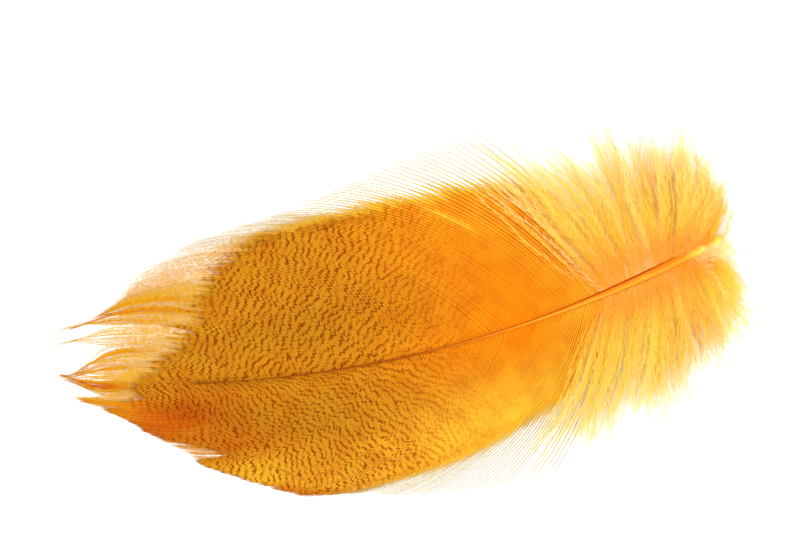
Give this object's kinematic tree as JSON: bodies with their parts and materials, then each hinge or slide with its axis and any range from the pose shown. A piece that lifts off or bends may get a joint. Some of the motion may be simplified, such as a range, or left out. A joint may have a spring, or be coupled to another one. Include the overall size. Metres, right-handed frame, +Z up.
{
  "type": "mallard flank feather",
  "caption": "Bowed flank feather with a quill, a barred vane of fine barbs in pointed locks, and a downy base, dyed golden orange.",
  "frame": {"origin": "centre of the feather's box, at the surface it lies on", "axes": "+X from the vane's tip towards the quill end, +Y across the vane, +Z up through the outer face"},
  "size_m": [0.0934, 0.047, 0.0062],
  "materials": {
    "feather": "satin"
  },
  "bodies": {
    "root": {"feather": "feather"}
  },
  "joints": []
}
